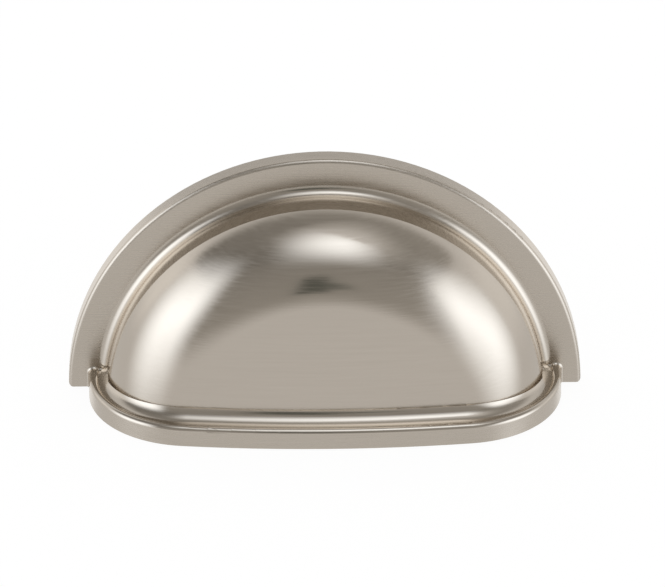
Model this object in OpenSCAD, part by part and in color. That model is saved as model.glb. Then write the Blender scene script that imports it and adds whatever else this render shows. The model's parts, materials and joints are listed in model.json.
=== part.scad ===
// Half-round cup pull for a drawer or cabinet door, cast in one piece.
// The mounting face lies in the XZ plane and the cup projects along -Y.
// The origin is midway between the two fixing holes, on the mounting face.

/* [Flange] */
// Overall width across the mounting flange, mm
overall_w = 95; // [90:1:104]
// Thickness of the flange, mm
flange_t = 3.4; // [2.6:0.1:4.2]
// Width of the flat flange face outside the collar, mm
flange_w = 5.1; // [4.6:0.05:6]
// Rounding of the front outer edge of the flange, mm
flange_edge_r = 0.8; // [0.4:0.1:1.2]
// Rounding of the two lower corners of the flange, mm
flange_corner_r = 0.8; // [0.4:0.1:1.6]

/* [Cup] */
// Depth from the wall to the edge where the dome begins, mm
collar_d = 9.2; // [7.6:0.1:10.4]
// Lean of the collar wall, degrees
collar_lean = 2.5; // [1:0.5:5]
// Fillet where the collar meets the flange, mm
collar_fillet_r = 1.8; // [1:0.1:2.2]
// Radius of the shoulder between the dome's side and its front, mm
shoulder_r = 17; // [15:0.1:19]
// Radius of the slightly crowned front, mm
crown_r = 225; // [150:5:400]
// Thickness of the cup wall, mm
wall = 2; // [1.5:0.1:2.5]

/* [Rim] */
// Projection of the rim from the wall, mm
projection = 27.1; // [25.5:0.1:29]
// Distance from the rim's front to the front of the dome, mm
ledge_w = 4.4; // [4.2:0.1:4.6]
// Distance from the rim's side to the end of the flange, mm
rim_margin = 3.75; // [3.2:0.05:4.2]
// Radius of the rim's two front corners, mm
rim_corner_r = 19.2; // [17.5:0.1:20.5]
// Height of the band round the rim, with the lip along its top, mm
band_h = 3.95; // [3.8:0.05:4.3]
// Radius of the round lip along the top of the band, mm
lip_r = 0.9; // [0.8:0.05:1.1]
// Radius of the cove that runs up from the lip into the dome, mm
cove_r = 2.8; // [2.5:0.1:3.2]
// Height of the cove's floor above the underside, mm
cove_floor = 3.37; // [3.1:0.01:3.6]
// Fillet where the ends of the rim meet the flange, mm
rim_end_r = 0.7; // [0.4:0.1:1]
// Rounding of the finger edge inside the rim, mm
finger_edge_r = 0.9; // [0.5:0.1:1.4]

/* [Fixing] */
// Distance between the two tapped fixing holes, mm
hole_spacing = 64; // [56:1:66]
// Height of the fixing holes above the underside of the rim, mm
hole_z = 14; // [11:0.5:16]
// Thread size of the fixing holes, mm
hole_d = 4; // [3:0.5:5]
// Depth of the tapped holes, mm
hole_depth = 10; // [7:0.5:11]
// Diameter of the screw bosses at the mounting face, mm
boss_d = 8; // [7:0.1:9.5]
// Taper of the screw bosses, mm in diameter
boss_taper = 0.6; // [0.2:0.1:1]

/* [Hidden] */
$fa = 2;
$fs = 0.3;
metal = "#b5a899";

// Clearance that carries a cut past the face it opens, mm
past = 2;
// Difference in size between neighbouring lengths of the rim, mm
hair = 0.005;
// Lap of one length of the rim into the next, degrees
lap_deg = 0.3;
// How far a rounding's middle stands in from the faces it joins, as a share of its radius
edge_break = 0.94;
flange_r = overall_w / 2;

// Collar wall: a leaning line joined to the flange by a fillet
fillet_rho = flange_r - flange_w;
fillet_d = flange_t + collar_fillet_r;
collar_run = (collar_d - fillet_d) * tan(collar_lean);
collar_rho = fillet_rho - collar_fillet_r / cos(collar_lean) - collar_run;
fillet_end_rho = fillet_rho - collar_fillet_r * cos(collar_lean);
fillet_end_d = fillet_d - collar_fillet_r * sin(collar_lean);
collar_top_rho = collar_rho - (projection - collar_d) * tan(collar_lean);

// Dome: a crown arc on the axis, and a shoulder arc tangent to it that starts from the collar's edge
cup_d = projection - ledge_w;
crown_centre_d = cup_d - crown_r;
between_r = crown_r - shoulder_r;
edge_d = collar_d - crown_centre_d;
edge_far = norm([collar_rho, edge_d]);
along = (between_r * between_r - shoulder_r * shoulder_r + edge_far * edge_far) / (2 * edge_far);
aside = sqrt(between_r * between_r - along * along);
shoulder_rho = (along * collar_rho - aside * edge_d) / edge_far;
shoulder_d = crown_centre_d + (along * edge_d + aside * collar_rho) / edge_far;

// Rim: straight sides, two corner arcs and a front arc, all tangent
rim_half_w = flange_r - rim_margin;
rim_front_r = crown_r + ledge_w;
rim_corner_x = rim_half_w - rim_corner_r;
rim_front_centre_d = projection - rim_front_r;
rim_swing = asin(rim_corner_x / (rim_front_r - rim_corner_r));
rim_corner_d = rim_front_centre_d + (rim_front_r - rim_corner_r) * cos(rim_swing);
rim_root_d = flange_t / 2;
rim_root = wall / 4;
rim_depth = ledge_w + rim_root;

// Cove: its path follows the dome at the height where the cove leaves it
// Angle from upright at which the cove leaves the dome's front, degrees
cove_start = 14;
// How much tighter the cove turns its corners than the dome's shoulder, mm
cove_corner_draw = 0.8;
cove_top = cove_floor + cove_r;
cove_meet_z = cove_top - cove_r * sin(cove_start);
cove_front_r = sqrt(crown_r * crown_r - cove_meet_z * cove_meet_z) - cove_r * (1 - cos(cove_start));
cove_half_w = sqrt(collar_rho * collar_rho - cove_meet_z * cove_meet_z);
cove_corner_r = shoulder_r - cove_corner_draw;
cove_swing = asin((cove_half_w - cove_corner_r) / (cove_front_r - cove_corner_r));
cove_corner_d = crown_centre_d + (cove_front_r - cove_corner_r) * cos(cove_swing);

// Finger edge: the outline of the hollow at the underside
hollow_r = shoulder_r - wall;
hollow_half_w = shoulder_rho + hollow_r;
hollow_front_r = crown_r - wall;
hollow_swing = asin(shoulder_rho / between_r);

// Area below a dome made of a shoulder arc and a crown arc, from the axis to the shoulder
module dome_area(arc_r, front_r) {
    reach = front_r / between_r;
    tangent_rho = shoulder_rho * reach;
    translate([shoulder_rho, shoulder_d])
        circle(r = arc_r);
    intersection() {
        translate([0, crown_centre_d])
            circle(r = front_r);
        translate([0, shoulder_d])
            square([tangent_rho, front_r]);
    }
}

// Radius and depth section of the outside: flange, collar and dome
module outer_section() {
    edge_flat_r = flange_r - flange_edge_r;
    edge_flat_d = flange_t - flange_edge_r;
    square([flange_r, edge_flat_d]);
    square([edge_flat_r, flange_t]);
    translate([edge_flat_r, edge_flat_d])
        circle(r = flange_edge_r);
    intersection() {
        difference() {
            polygon([
                [0, 0],
                [fillet_rho, 0],
                [fillet_rho, flange_t],
                [fillet_end_rho, fillet_end_d],
                [collar_top_rho, projection],
                [0, projection]
            ]);
            translate([fillet_rho, fillet_d])
                circle(r = collar_fillet_r);
        }
        union() {
            dome_area(shoulder_r, crown_r);
            square([flange_r, collar_d - collar_fillet_r]);
        }
    }
}

// Radius and depth section of the hollow behind the cup
module hollow_section() {
    polygon([
        [0, -past],
        [hollow_half_w, -past],
        [hollow_half_w, shoulder_d],
        [0, shoulder_d]
    ]);
    intersection() {
        dome_area(hollow_r, hollow_front_r);
        translate([0, shoulder_d])
            square([flange_r, projection]);
    }
}

// Section of the band and its lip, from the rim's outer face inwards and up from the underside
module band_section() {
    lip_z = band_h - lip_r;
    body_z = cove_floor - rim_root / 2 - $inset;
    back_n = rim_depth - $inset;
    polygon([
        [$inset, 0],
        [back_n, 0],
        [back_n, body_z],
        [lip_r, body_z],
        [lip_r, lip_z],
        [$inset, lip_z]
    ]);
    translate([lip_r, lip_z])
        circle(r = lip_r - $inset);
}

// Section of the cove, from the dome's face outwards and up from the underside
module cove_section() {
    foot_z = cove_floor - rim_root + $inset;
    floor_z = cove_floor - $inset;
    head_z = cove_top - cove_r * sin(cove_start / 2) - $inset;
    toe = cove_r + rim_root - $inset;
    difference() {
        translate([-rim_root, foot_z])
            square([rim_root + toe, head_z - foot_z]);
        translate([cove_r, cove_top])
            circle(r = cove_r + $inset);
        translate([cove_r, floor_z])
            square(cove_r + past);
    }
}

// Section of the cut that rounds the finger edge, from the hollow's face into the wall
module finger_cut_section() {
    cut_r = finger_edge_r - $inset;
    middle = finger_edge_r * edge_break;
    difference() {
        translate([-past, -past])
            square(past + middle);
        translate([middle, middle])
            circle(r = cut_r);
    }
}

// Half turn of a radius and depth section about the axis through the wall
module half_turn() {
    rotate([90, 0, 0])
        rotate_extrude(angle = 180)
            children();
}

// Sweep of a section round a path of straight sides, corner arcs and front arc.
// Each length laps into its neighbour and is a hair smaller, so no two faces coincide.
module rim_sweep(half_w, corner_r, corner_d, front_r, front_centre_d, swing, root_d) {
    corner_x = half_w - corner_r;
    translate([0, -front_centre_d, 0])
        rotate_extrude(angle = 2 * swing, start = 270 - swing)
            translate([front_r, 0])
                let ($inset = 0)
                    children();
    for (side = [0, 1]) {
        mirror([side, 0, 0]) {
            translate([corner_x, -corner_d, 0])
                rotate_extrude(angle = 90 - swing + 2 * lap_deg, start = 270 + swing - lap_deg)
                    translate([corner_r, 0])
                        let ($inset = hair)
                            children();
            translate([half_w, -root_d, 0])
                rotate([90, 0, 0])
                    linear_extrude(height = corner_d - root_d)
                        let ($inset = 2 * hair)
                            children();
        }
    }
}

// Fillet about the lip's axis where the lip meets the flange
module lip_end() {
    middle = rim_end_r * edge_break;
    edge_r = lip_r - 3 * hair;
    root = edge_r / 2;
    translate([rim_half_w - lip_r, -flange_t, band_h - lip_r])
        rotate([90, 0, 0])
            rotate_extrude()
                difference() {
                    translate([root, -root])
                        square([edge_r - root + middle, root + middle]);
                    translate([edge_r + middle, middle])
                        circle(r = rim_end_r);
                }
}

// Fillet about the cove's axis where the cove meets the flange
module cove_end() {
    middle = rim_end_r * edge_break;
    edge_r = cove_r + 3 * hair;
    translate([cove_half_w + cove_r, -flange_t, cove_top])
        rotate([90, 0, 0])
            rotate_extrude(angle = 90 + 2 * cove_start, start = 180 - cove_start)
                difference() {
                    translate([edge_r - middle, -rim_root])
                        square([middle + rim_root, rim_root + middle]);
                    translate([edge_r - middle, middle])
                        circle(r = rim_end_r);
                }
}

// Fillet down the band's face where the band meets the flange
module band_end() {
    middle = rim_end_r * edge_break;
    linear_extrude(height = band_h - lip_r)
        difference() {
            translate([rim_half_w - lip_r, -flange_t - middle])
                square([lip_r + middle, middle + flange_t / 2]);
            translate([rim_half_w + middle, -flange_t - middle])
                circle(r = rim_end_r);
        }
}

// Fillets round both ends of the rim
module rim_ends() {
    for (side = [0, 1]) {
        mirror([side, 0, 0]) {
            lip_end();
            cove_end();
            band_end();
        }
    }
}

// Screw bosses left standing in the hollow
module bosses() {
    for (side = [-1, 1]) {
        translate([side * hole_spacing / 2, past, hole_z])
            rotate([90, 0, 0])
                cylinder(h = projection + past, d1 = boss_d, d2 = boss_d + boss_taper);
    }
}

// Tapped fixing holes, drawn at the thread's outside diameter
module fixing_holes() {
    for (side = [-1, 1]) {
        translate([side * hole_spacing / 2, past, hole_z])
            rotate([90, 0, 0])
                cylinder(h = hole_depth + past, d = hole_d);
    }
}

// Cuts that round the two lower corners of the flange
module flange_corner_cuts() {
    for (side = [0, 1]) {
        mirror([side, 0, 0])
            translate([flange_r - flange_corner_r, past, flange_corner_r])
                rotate([90, 0, 0])
                    linear_extrude(height = flange_t + 2 * past)
                        difference() {
                            translate([0, -flange_corner_r - past])
                                square(flange_corner_r + past);
                            circle(r = flange_corner_r);
                        }
    }
}

module cup_pull() {
    color(metal)
        translate([0, 0, -hole_z])
            difference() {
                union() {
                    half_turn()
                        outer_section();
                    rim_sweep(rim_half_w, rim_corner_r, rim_corner_d, rim_front_r,
                              rim_front_centre_d, rim_swing, rim_root_d)
                        mirror([1, 0])
                            band_section();
                    rim_sweep(cove_half_w, cove_corner_r, cove_corner_d, cove_front_r,
                              crown_centre_d, cove_swing, rim_root_d)
                        cove_section();
                    rim_ends();
                }
                difference() {
                    half_turn()
                        hollow_section();
                    bosses();
                }
                rim_sweep(hollow_half_w, hollow_r, shoulder_d, hollow_front_r,
                          crown_centre_d, hollow_swing, -past)
                    finger_cut_section();
                fixing_holes();
                flange_corner_cuts();
            }
}

cup_pull();
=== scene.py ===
import json
import math
import bpy
from mathutils import Matrix, Vector

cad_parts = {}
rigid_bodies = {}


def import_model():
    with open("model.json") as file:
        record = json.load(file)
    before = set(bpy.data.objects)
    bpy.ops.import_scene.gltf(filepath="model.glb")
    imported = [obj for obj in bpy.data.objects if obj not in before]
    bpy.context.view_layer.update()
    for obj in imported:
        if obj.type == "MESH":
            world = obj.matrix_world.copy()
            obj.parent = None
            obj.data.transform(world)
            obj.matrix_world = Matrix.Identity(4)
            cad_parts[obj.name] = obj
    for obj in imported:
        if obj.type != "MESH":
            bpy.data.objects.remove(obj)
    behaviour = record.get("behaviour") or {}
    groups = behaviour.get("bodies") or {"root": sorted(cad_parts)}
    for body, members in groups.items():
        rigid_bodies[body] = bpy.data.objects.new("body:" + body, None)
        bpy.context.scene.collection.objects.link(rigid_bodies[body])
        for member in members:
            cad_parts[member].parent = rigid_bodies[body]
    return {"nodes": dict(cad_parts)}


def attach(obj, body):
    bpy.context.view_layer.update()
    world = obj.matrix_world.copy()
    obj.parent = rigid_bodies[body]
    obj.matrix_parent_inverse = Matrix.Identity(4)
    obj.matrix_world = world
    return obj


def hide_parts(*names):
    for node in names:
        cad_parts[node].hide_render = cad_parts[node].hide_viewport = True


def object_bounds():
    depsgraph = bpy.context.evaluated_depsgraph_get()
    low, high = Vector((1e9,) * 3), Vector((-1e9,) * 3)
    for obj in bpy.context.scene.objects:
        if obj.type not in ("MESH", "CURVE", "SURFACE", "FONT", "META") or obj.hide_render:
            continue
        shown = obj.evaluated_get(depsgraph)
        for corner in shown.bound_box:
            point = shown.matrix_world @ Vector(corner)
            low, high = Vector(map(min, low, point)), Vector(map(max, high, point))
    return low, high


for old in list(bpy.data.objects):
    bpy.data.objects.remove(old)
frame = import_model()
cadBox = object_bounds()
mm = 0.001
scene = bpy.context.scene
print("frame loaded:", sorted(frame["nodes"]))


def linearColour(hexText):
    parts = [int(hexText[i:i + 2], 16) / 255 for i in (0, 2, 4)]
    return tuple(c / 12.92 if c <= 0.04045 else ((c + 0.055) / 1.055) ** 2.4 for c in parts) + (1.0,)


# adds one node: settings are its attributes, inputs are values or (node, output) links
def addNode(tree, kind, inputs=None, **settings):
    node = tree.nodes.new(kind)
    for name, value in settings.items():
        setattr(node, name, value)
    for key, value in (inputs or {}).items():
        if isinstance(value, tuple) and len(value) == 2 and isinstance(value[0], bpy.types.Node):
            tree.links.new(value[0].outputs[value[1]], node.inputs[key])
        else:
            node.inputs[key].default_value = value
    return node


def newMaterial(name):
    material = bpy.data.materials.new(name)
    material.use_nodes = True
    material.node_tree.nodes.clear()
    return material, material.node_tree


def newMesh(name, points, faces):
    mesh = bpy.data.meshes.new(name)
    mesh.from_pydata(points, [], faces)
    return mesh


def addPiece(name, mesh, material):
    mesh.materials.clear()
    mesh.materials.append(material)
    piece = bpy.data.objects.new(name, mesh)
    scene.collection.objects.link(piece)
    return piece


# camera: long lens, a little under thirty degrees above the pull and a degree to its left
view = {
    "target": (0.0, -12.0, 6.0), "distance": 2000.7, "azimuth": -0.972, "elevation": 29.755,
    "roll": -0.038, "pixelsPerMm": 5.434, "targetPixel": (325.62, 313.73), "frame": (665, 587),
}
az, el = math.radians(view["azimuth"]), math.radians(view["elevation"])
backward = Vector((math.sin(az) * math.cos(el), -math.cos(az) * math.cos(el), math.sin(el)))
sideways = Vector((math.cos(az), math.sin(az), 0.0))
upward = backward.cross(sideways)
turn = Matrix.Rotation(math.radians(view["roll"]), 4, "Z")
pose = Matrix((sideways, upward, backward)).transposed().to_4x4() @ turn
pose.translation = (Vector(view["target"]) + backward * view["distance"]) * mm
cameraData = bpy.data.cameras.new("camera")
camera = bpy.data.objects.new("camera", cameraData)
scene.collection.objects.link(camera)
camera.matrix_world = pose
cameraData.sensor_fit = "HORIZONTAL"
cameraData.sensor_width = 36.0
frameW, frameH = view["frame"]
cameraData.lens = view["pixelsPerMm"] * view["distance"] * cameraData.sensor_width / frameW
cameraData.shift_x = (frameW / 2 - view["targetPixel"][0]) / frameW
cameraData.shift_y = (view["targetPixel"][1] - frameH / 2) / frameW
cameraData.clip_start = 0.01
cameraData.clip_end = 50.0
scene.camera = camera
print("camera set")

# the shell's profile about its axis, as radius and depth in mm
shell = {
    "underside": cadBox[0][2] / mm, "flangeR": 47.5, "flangeT": 3.4, "edgeR": 0.8, "flangeW": 5.1, "filletR": 1.8,
    "lean": 2.5, "collarD": 9.2, "frontD": 22.7, "crownR": 225.0, "shoulderR": 17.0, "wall": 2.0, "near": 0.02,
}
leanCos, leanSin = math.cos(math.radians(shell["lean"])), math.sin(math.radians(shell["lean"]))
filletAt = (shell["flangeR"] - shell["flangeW"], shell["flangeT"] + shell["filletR"])
edgeAt = (shell["flangeR"] - shell["edgeR"], shell["flangeT"] - shell["edgeR"])
collarAt = (filletAt[0] - shell["filletR"] / leanCos - (shell["collarD"] - filletAt[1]) * leanSin / leanCos,
            shell["collarD"])
crownD = shell["frontD"] - shell["crownR"]
between = shell["crownR"] - shell["shoulderR"]
reach = math.hypot(collarAt[0], collarAt[1] - crownD)
along = (between ** 2 - shell["shoulderR"] ** 2 + reach ** 2) / (2 * reach)
aside = math.sqrt(between ** 2 - along ** 2)
shoulderAt = ((along * collarAt[0] - aside * (collarAt[1] - crownD)) / reach,
              crownD + (along * (collarAt[1] - crownD) + aside * collarAt[0]) / reach)
innerR, innerCrownR = shell["shoulderR"] - shell["wall"], shell["crownR"] - shell["wall"]
# rounds have a middle, a radius and the side that shows, 1 outside or -1 inside
rounds = [(*edgeAt, shell["edgeR"], 1), (*filletAt, shell["filletR"], -1), (*shoulderAt, shell["shoulderR"], 1),
          (0.0, crownD, shell["crownR"], 1), (*shoulderAt, innerR, -1), (0.0, crownD, innerCrownR, -1)]
# straights have a point and the way they face
straights = [(0.0, shell["flangeT"], 0.0, 1.0), (0.0, 0.0, 0.0, -1.0), (shell["flangeR"], 0.0, 1.0, 0.0),
             (*collarAt, leanCos, leanSin)]

# the rim's lip and cove, in mm; each follows a path of straight sides, corner arcs and a front arc
rim = {
    "projection": 27.1, "ledge": 4.4, "margin": 3.75, "cornerR": 19.2, "bandH": 3.95, "lipR": 0.9, "coveR": 2.8,
    "coveFloor": 3.37, "coveStart": 14.0, "coveDraw": 0.8,
}
coveTop = rim["coveFloor"] + rim["coveR"]
startCos, startSin = math.cos(math.radians(rim["coveStart"])), math.sin(math.radians(rim["coveStart"]))
meetZ = coveTop - rim["coveR"] * startSin
coveFrontR = math.sqrt(shell["crownR"] ** 2 - meetZ ** 2) - rim["coveR"] * (1 - startCos)
rimFrontR = shell["crownR"] + rim["ledge"]
lipZ = rim["bandH"] - rim["lipR"]
# a path has its half width, corner radius, and the radius and middle of its front arc
bandPath = (shell["flangeR"] - rim["margin"], rim["cornerR"], rimFrontR, rim["projection"] - rimFrontR)
covePath = (math.sqrt(collarAt[0] ** 2 - meetZ ** 2), shell["shoulderR"] - rim["coveDraw"], coveFrontR, crownD)
# a moulding's section is round: how far out from the path it lies, its height, its radius and the side that shows
mouldings = [(bandPath, -rim["lipR"], lipZ, rim["lipR"], 1), (covePath, rim["coveR"], coveTop, rim["coveR"], -1)]


def height(point):
    return point.z / mm - shell["underside"]


def onProfile(point):
    return math.hypot(point.x / mm, height(point)), -point.y / mm


def facing(point, out, forward):
    radius = max(onProfile(point)[0], 1e-6)
    return Vector((out * point.x / mm / radius, -forward, out * height(point) / radius))


# how far a point lies out from a path, and the way out
def fromPath(point, path):
    halfW, cornerR, frontR, frontD = path
    x, depth = abs(point.x / mm), -point.y / mm
    cornerX = halfW - cornerR
    swing = math.asin(cornerX / (frontR - cornerR))
    cornerD = frontD + (frontR - cornerR) * math.cos(swing)
    if depth < cornerD:
        away, out = x - halfW, (1.0, 0.0)
    else:
        onCorner = math.atan2(x - cornerX, depth - cornerD) > swing
        centre, r = ((cornerX, cornerD), cornerR) if onCorner else ((0.0, frontD), frontR)
        far = math.hypot(x - centre[0], depth - centre[1])
        away, out = far - r, ((x - centre[0]) / far, (depth - centre[1]) / far)
    return away, Vector((math.copysign(out[0], point.x), -out[1], 0.0))


# satin nickel: zinc casting plated and belt brushed, a warm grey with soft clear reflections; the flange and the
# band are brushed flat and show softer ones, and the hollow and the back keep the dull grain of the casting
nickel = {
    "colour": "D8CEC1", "shade": "CBC1B4", "roughness": 0.14, "flatRoughness": 0.27, "roughnessSpread": 0.07,
    "brushGap": 0.28, "brushLength": 14.0, "brushDepth": 0.014, "castColour": "B9AFA3", "castRoughness": 0.46,
    "grain": 0.7, "grainRelief": 6.0, "bandTop": 3.0, "edge": 0.15, "endOn": (0.5, 0.9),
}
nickelMaterial, tree = newMaterial("brushedSatinNickel")
place = addNode(tree, "ShaderNodeTexCoord")
where = addNode(tree, "ShaderNodeSeparateXYZ", {0: (place, "Object")})
cast = addNode(tree, "ShaderNodeAttribute", attribute_name="asCast")
# brush lines run across the pull; 0.28 mm apart is coarser than the real grit so that they show
gap, length = nickel["brushGap"] * mm, nickel["brushLength"] * mm
lay = addNode(tree, "ShaderNodeMapping", {0: (place, "Object"), "Rotation": (math.radians(-30), 0.0, 0.0),
              "Scale": (1 / length, 0.25 / gap, 1 / gap)}, vector_type="POINT")
lines = addNode(tree, "ShaderNodeTexNoise", {"Vector": (lay, "Vector"), "Scale": 1.0, "Detail": 3.0,
                "Roughness": 0.6})
# a surface that faces along the lines would show them end on as specks, so they fade out there
slope = addNode(tree, "ShaderNodeNewGeometry")
slopeParts = addNode(tree, "ShaderNodeSeparateXYZ", {0: (slope, "Normal")})
endOn = addNode(tree, "ShaderNodeMath", {0: (slopeParts, "X")}, operation="ABSOLUTE")
faded = addNode(tree, "ShaderNodeMapRange", {"Value": (endOn, 0), "From Min": nickel["endOn"][0],
                "From Max": nickel["endOn"][1]}, interpolation_type="SMOOTHSTEP")
strokes = addNode(tree, "ShaderNodeMix", {"Factor": (faded, 0), "A": (lines, "Fac"), "B": 0.5})
# the casting's dimples; 0.7 mm is coarser than the real grain, for the same reason
grain = addNode(tree, "ShaderNodeTexNoise", {"Vector": (place, "Object"), "Scale": 1 / (nickel["grain"] * mm),
                "Detail": 2.0})
dimples = addNode(tree, "ShaderNodeMapRange", {"Value": (grain, "Fac"), "To Max": nickel["grainRelief"]})
onFlange = addNode(tree, "ShaderNodeMapRange", {"Value": (where, "Y"),
                   "From Min": -(shell["flangeT"] + nickel["edge"]) * mm, "From Max": -shell["flangeT"] * mm})
onBand = addNode(tree, "ShaderNodeMapRange", {"Value": (where, "Z"),
                 "From Min": (nickel["bandTop"] + nickel["edge"]) * mm + cadBox[0][2],
                 "From Max": nickel["bandTop"] * mm + cadBox[0][2]})
flat = addNode(tree, "ShaderNodeMath", {0: (onFlange, 0), 1: (onBand, 0)}, operation="MAXIMUM")
plain = addNode(tree, "ShaderNodeMapRange", {"Value": (flat, 0), "To Min": nickel["roughness"],
                "To Max": nickel["flatRoughness"]})
soft = addNode(tree, "ShaderNodeMapRange", {"Value": (cast, "Fac"), "To Min": (plain, 0),
               "To Max": nickel["castRoughness"]})
streak = addNode(tree, "ShaderNodeMapRange", {"Value": (strokes, 0), "From Min": 0.25, "From Max": 0.75,
                 "To Min": -nickel["roughnessSpread"], "To Max": nickel["roughnessSpread"]})
gloss = addNode(tree, "ShaderNodeMath", {0: (soft, 0), 1: (streak, 0)}, operation="ADD")
relief = addNode(tree, "ShaderNodeMix", {"Factor": (cast, "Fac"), "A": (strokes, 0), "B": (dimples, 0)})
ridges = addNode(tree, "ShaderNodeBump", {"Strength": 0.3, "Distance": nickel["brushDepth"] * mm,
                 "Height": (relief, 0)})
brushed = addNode(tree, "ShaderNodeMix", {0: (strokes, 0), 6: linearColour(nickel["shade"]),
                  7: linearColour(nickel["colour"])}, data_type="RGBA")
tone = addNode(tree, "ShaderNodeMix", {0: (cast, "Fac"), 6: (brushed, 2), 7: linearColour(nickel["castColour"])},
               data_type="RGBA")
metal = addNode(tree, "ShaderNodeBsdfPrincipled", {"Base Color": (tone, 2), "Metallic": 1.0,
                "Roughness": (gloss, 0), "Normal": (ridges, "Normal")})
addNode(tree, "ShaderNodeOutputMaterial", {"Surface": (metal, "BSDF")})
print("finish made")

# the pull as it is seen: the CAD mesh with the true slope of each surface, so that reflections run smoothly
mesh = frame["nodes"]["cup_pull"].data.copy()
mesh.name = "platedShell"
slopes = [normal.vector.copy() for normal in mesh.corner_normals]
asCast = mesh.attributes.new("asCast", "FLOAT", "FACE")
spots = [onProfile(vertex.co) for vertex in mesh.vertices]
inHollow = shell["wall"] * 0.15
for face in mesh.polygons:
    corners = [(spots[v], mesh.vertices[v].co) for v in face.vertices]
    found = []
    for radius, depth, r, side in rounds:
        if all(abs(math.hypot(s[0] - radius, s[1] - depth) - r) < shell["near"] for s, co in corners):
            found.append([facing(co, side * (s[0] - radius) / r, side * (s[1] - depth) / r) for s, co in corners])
    for radius, depth, out, forward in straights:
        if all(abs((s[0] - radius) * out + (s[1] - depth) * forward) < shell["near"] for s, co in corners):
            found.append([facing(co, out, forward) for s, co in corners])
    for path, away, rise, r, side in mouldings:
        offsets = [(*fromPath(co, path), height(co)) for s, co in corners]
        if all(abs(math.hypot(o[0] - away, o[2] - rise) - r) < shell["near"] for o in offsets):
            found.append([side / r * (o[1] * (o[0] - away) + Vector((0, 0, o[2] - rise))) for o in offsets])
    # a face near two surfaces takes the one that it lies along
    closest, best = 0.9 * len(corners), None
    for ways in found:
        match = sum(slopes[loop].dot(way.normalized()) for loop, way in zip(face.loop_indices, ways))
        if match > closest:
            closest, best = match, ways
    if best:
        for loop, way in zip(face.loop_indices, best):
            slopes[loop] = way.normalized()
    # the hollow and the back aren't brushed
    radius, depth = onProfile(face.center)
    if radius < shoulderAt[0] * innerCrownR / between:
        under = math.hypot(radius, depth - crownD) < innerCrownR + inHollow
    else:
        under = math.hypot(radius - shoulderAt[0], max(depth - shoulderAt[1], 0.0)) < innerR + inHollow
    raised = height(face.center) > shell["near"]
    asCast.data[face.index].value = 1.0 if (under and raised) or depth < shell["near"] else 0.0
mesh.normals_split_custom_set(slopes)
plated = addPiece("platedShell", mesh, nickelMaterial)
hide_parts("cup_pull")
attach(plated, "root")
print("shell dressed:", len(mesh.polygons), "faces")

# tapped threads in the two bosses: M4 by 0.7, a ridge that winds in from the back
thread = {"spacing": 64.0, "holeR": 2.0, "crestR": 1.62, "pitch": 0.7, "start": 0.5, "depth": 9.4, "steps": 28}
points, faces = [], []
turns = (thread["depth"] - thread["start"]) / thread["pitch"]
count = int(turns * thread["steps"])
for side in (-1, 1):
    first = len(points)
    for i in range(count + 1):
        angle = 2 * math.pi * i / thread["steps"]
        depth = thread["start"] + thread["pitch"] * i / thread["steps"]
        # the ridge grows from the wall over its first and last half turn
        grown = min(1.0, 2 * i / thread["steps"], 2 * (count - i) / thread["steps"])
        crest = thread["holeR"] - (thread["holeR"] - thread["crestR"]) * grown
        for r, shift in ((thread["holeR"], -0.44), (crest, -0.06), (crest, 0.06), (thread["holeR"], 0.44)):
            points.append(((side * thread["spacing"] / 2 + r * math.cos(angle)) * mm,
                           -(depth + shift * thread["pitch"]) * mm, r * math.sin(angle) * mm))
    for i in range(count):
        for k in range(3):
            a = first + 4 * i + k
            faces.append((a, a + 1, a + 5, a + 4))
threads = addPiece("screwThreads", newMesh("screwThreads", points, faces), nickelMaterial)
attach(threads, "root")
print("threads cut:", len(faces), "faces")

# plain pale floor that the pull stands on: an even white, with a small share that takes its soft shadow
floor = {"half": 1.5, "gap": 0.05, "white": 0.91, "shade": "686868"}
material, tree = newMaterial("paleFloor")
lit = addNode(tree, "ShaderNodeEmission", {"Color": (1, 1, 1, 1), "Strength": floor["white"]})
matt = addNode(tree, "ShaderNodeBsdfDiffuse", {"Color": linearColour(floor["shade"])})
both = addNode(tree, "ShaderNodeAddShader", {0: (lit, 0), 1: (matt, 0)})
# clear from beneath, so that the underside can be looked at
sideSeen = addNode(tree, "ShaderNodeNewGeometry")
clear = addNode(tree, "ShaderNodeBsdfTransparent")
oneSided = addNode(tree, "ShaderNodeMixShader", {0: (sideSeen, "Backfacing"), 1: (both, 0), 2: (clear, 0)})
addNode(tree, "ShaderNodeOutputMaterial", {"Surface": (oneSided, 0)})
half, level = floor["half"], cadBox[0][2] - floor["gap"] * mm
corners = [(-half, -half, level), (half, -half, level), (half, half, level), (-half, half, level)]
ground = addPiece("paleFloor", newMesh("paleFloor", corners, [(0, 1, 2, 3)]), material)
ground.visible_glossy = False
print("floor laid")

# studio surround: white to the eye, and in the metal white behind and below, a grey room elsewhere
surround = {"room": 0.667, "white": 1.0, "backFrom": (0.6, 0.8), "lowFrom": (0.1, -0.1)}
world = bpy.data.worlds.new("studioSurround")
scene.world = world
world.use_nodes = True
tree = world.node_tree
tree.nodes.clear()
ray = addNode(tree, "ShaderNodeLightPath")
toward = addNode(tree, "ShaderNodeTexCoord")
split = addNode(tree, "ShaderNodeSeparateXYZ", {0: (toward, "Generated")})
behind = addNode(tree, "ShaderNodeMapRange", {"Value": (split, "Y"), "From Min": surround["backFrom"][0],
                 "From Max": surround["backFrom"][1]}, interpolation_type="SMOOTHSTEP")
below = addNode(tree, "ShaderNodeMapRange", {"Value": (split, "Z"), "From Min": surround["lowFrom"][0],
                "From Max": surround["lowFrom"][1]}, interpolation_type="SMOOTHSTEP")
sweep = addNode(tree, "ShaderNodeMath", {0: (behind, 0), 1: (below, 0)}, operation="MULTIPLY")
mirrored = addNode(tree, "ShaderNodeMath", {0: (ray, "Is Glossy Ray"), 1: (ray, "Is Transmission Ray")},
                   operation="MAXIMUM")
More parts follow.
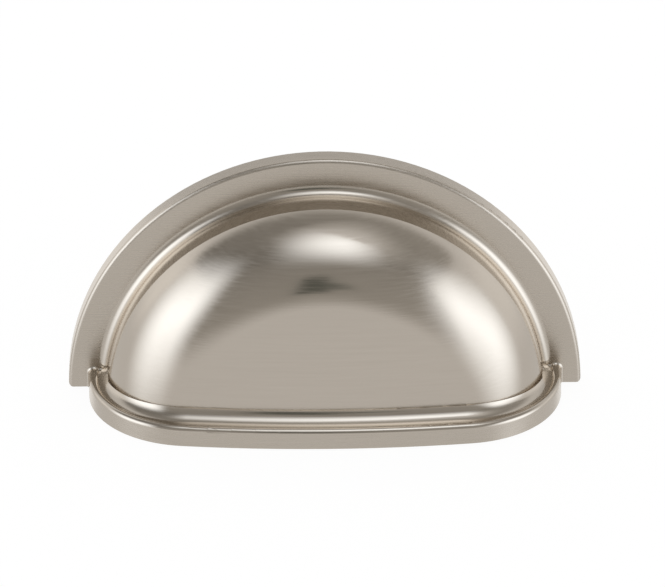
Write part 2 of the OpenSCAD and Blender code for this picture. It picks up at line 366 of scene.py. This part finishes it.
mirrored = addNode(tree, "ShaderNodeMath", {0: (mirrored, 0), 1: (sweep, 0)}, operation="MULTIPLY")
seen = addNode(tree, "ShaderNodeMath", {0: (ray, "Is Camera Ray"), 1: (mirrored, 0)}, operation="MAXIMUM")
level = addNode(tree, "ShaderNodeMapRange", {"Value": (seen, 0), "To Min": surround["room"],
                "To Max": surround["white"]})
sky = addNode(tree, "ShaderNodeBackground", {"Color": (1, 1, 1, 1), "Strength": (level, "Result")})
addNode(tree, "ShaderNodeOutputWorld", {"Surface": (sky, 0)})

# studio panels that show in the metal: bearing and height of the middle in degrees, distance in metres, half spans
# in degrees or a spread in metres, brightness against white at the corners (low left, low right, top left, top
# right), how much of each side fades away (left, right, bottom, top), and a lean in degrees
panels = {
    "ceiling": {"bearing": 0, "height": 90, "away": 1.9, "spread": (-3.0, 3.0, -2.6, 1.35), "tint": "FFFCF7",
                "levels": (0.14, 0.29, 0.22, 0.42), "fade": (0.1, 0.1, 0.12, 0.22)},
    "darkFront": {"bearing": -6, "height": 18, "away": 2.0, "spans": (52, 35), "tint": "FFFCF7",
                  "levels": (0.4, 0.42, 0.2, 0.32), "fade": (0.12, 0.12, 0.32, 0.12)},
    "lowFront": {"bearing": 0, "height": -48, "away": 2.0, "spans": (40, 20), "tint": "FFFFFF",
                 "levels": (0.62, 0.62, 0.62, 0.62), "fade": (0.25, 0.25, 0.2, 0.2)},
    "leftGlow": {"bearing": -122, "height": 16, "away": 1.8, "spans": (26, 24), "tint": "FFFFFF",
                 "levels": (0.8, 0.95, 0.85, 1.0), "fade": (0.45, 0.3, 0.45, 0.4)},
    "leftSoftbox": {"bearing": -71, "height": 8, "away": 1.7, "spans": (35, 44), "tint": "EFF6FF", "lean": 15,
                    "levels": (2.12, 2.12, 2.12, 2.12), "fade": (0.5, 0.32, 0.64, 0.52)},
    "rightGlow": {"bearing": 114, "height": 10, "away": 1.8, "spans": (26, 24), "tint": "FFFFFF",
                  "levels": (0.8, 0.9, 0.8, 0.9), "fade": (0.3, 0.45, 0.45, 0.4)},
    "rightSoftbox": {"bearing": 64, "height": 2, "away": 1.7, "spans": (36, 42), "tint": "EFF6FF", "lean": -40,
                     "levels": (2.05, 2.05, 2.05, 2.05), "fade": (0.34, 0.45, 0.64, 0.52)},
    "topGlow": {"bearing": 24, "height": 72, "away": 1.75, "spans": (32, 32), "tint": "FFFFFF",
                "levels": (0.6, 0.8, 0.6, 0.7), "fade": (0.5, 0.5, 0.5, 0.5)},
    "topSoftbox": {"bearing": 3, "height": 64, "away": 1.7, "spans": (26, 28), "tint": "EFF6FF",
                   "levels": (1.85, 1.85, 1.85, 1.85), "fade": (0.65, 0.4, 0.6, 0.5)},
    "backWall": {"bearing": 180, "height": 26, "away": 1.9, "spans": (52, 24), "tint": "FFFFFF",
                 "levels": (0.64, 0.56, 0.52, 0.46), "fade": (0.3, 0.3, 0.3, 0.3)},
    "cameraShade": {"bearing": -2.5, "height": 17, "away": 1.5, "spans": (5, 12.5), "tint": "EAF0E6",
                    "levels": (0.13, 0.13, 0.13, 0.13), "fade": (0.2, 0.2, 0.12, 0.3)},
    "lensShade": {"bearing": 4.5, "height": 14, "away": 1.48, "spans": (5, 4.5), "tint": "EAF0E6",
                  "levels": (0.16, 0.16, 0.16, 0.16), "fade": (0.2, 0.5, 0.2, 0.3)},
}
middle = Vector(view["target"]) * mm
for name, p in panels.items():
    material, tree = newMaterial(name + "Panel")
    across = addNode(tree, "ShaderNodeTexCoord")
    split = addNode(tree, "ShaderNodeSeparateXYZ", {0: (across, "Generated")})
    fromRight = addNode(tree, "ShaderNodeMath", {0: 1.0, 1: (split, "X")}, operation="SUBTRACT")
    fromTop = addNode(tree, "ShaderNodeMath", {0: 1.0, 1: (split, "Y")}, operation="SUBTRACT")
    cover = None
    for source, share in zip(((split, "X"), (fromRight, 0), (split, "Y"), (fromTop, 0)), p["fade"]):
        edge = addNode(tree, "ShaderNodeMapRange", {"Value": source, "From Max": share},
                       interpolation_type="SMOOTHSTEP")
        cover = edge if cover is None else addNode(tree, "ShaderNodeMath", {0: (cover, 0), 1: (edge, 0)},
                                                   operation="MULTIPLY")
    lowLeft, lowRight, topLeft, topRight = p["levels"]
    low = addNode(tree, "ShaderNodeMapRange", {"Value": (split, "X"), "To Min": lowLeft, "To Max": lowRight})
    top = addNode(tree, "ShaderNodeMapRange", {"Value": (split, "X"), "To Min": topLeft, "To Max": topRight})
    glow = addNode(tree, "ShaderNodeMapRange", {"Value": (split, "Y"), "To Min": (low, 0), "To Max": (top, 0)})
    clear = addNode(tree, "ShaderNodeBsdfTransparent")
    lit = addNode(tree, "ShaderNodeEmission", {"Color": linearColour(p["tint"]), "Strength": (glow, 0)})
    both = addNode(tree, "ShaderNodeMixShader", {0: (cover, 0), 1: (clear, 0), 2: (lit, 0)})
    addNode(tree, "ShaderNodeOutputMaterial", {"Surface": (both, 0)})
    if "spans" in p:
        w, h = [p["away"] * math.tan(math.radians(span)) for span in p["spans"]]
        x0, x1, y0, y1 = -w, w, -h, h
    else:
        x0, x1, y0, y1 = p["spread"]
    corners = [(x0, y0, 0), (x1, y0, 0), (x1, y1, 0), (x0, y1, 0)]
    panel = addPiece(name, newMesh(name, corners, [(0, 1, 2, 3)]), material)
    bearing, rise = math.radians(p["bearing"]), math.radians(p["height"])
    out = Vector((math.sin(bearing) * math.cos(rise), -math.cos(bearing) * math.cos(rise), math.sin(rise)))
    rightward = Vector((math.cos(bearing), math.sin(bearing), 0.0))
    rising = out.cross(rightward)
    spot = Matrix((rightward, rising, rightward.cross(rising))).transposed().to_4x4()
    spot.translation = middle + out * p["away"]
    panel.matrix_world = spot @ Matrix.Rotation(math.radians(p.get("lean", 0)), 4, "Z")
    panel.visible_camera = False
    panel.visible_diffuse = False
    panel.visible_shadow = False
print("studio set:", len(panels), "panels")

scene.view_settings.view_transform = "Standard"
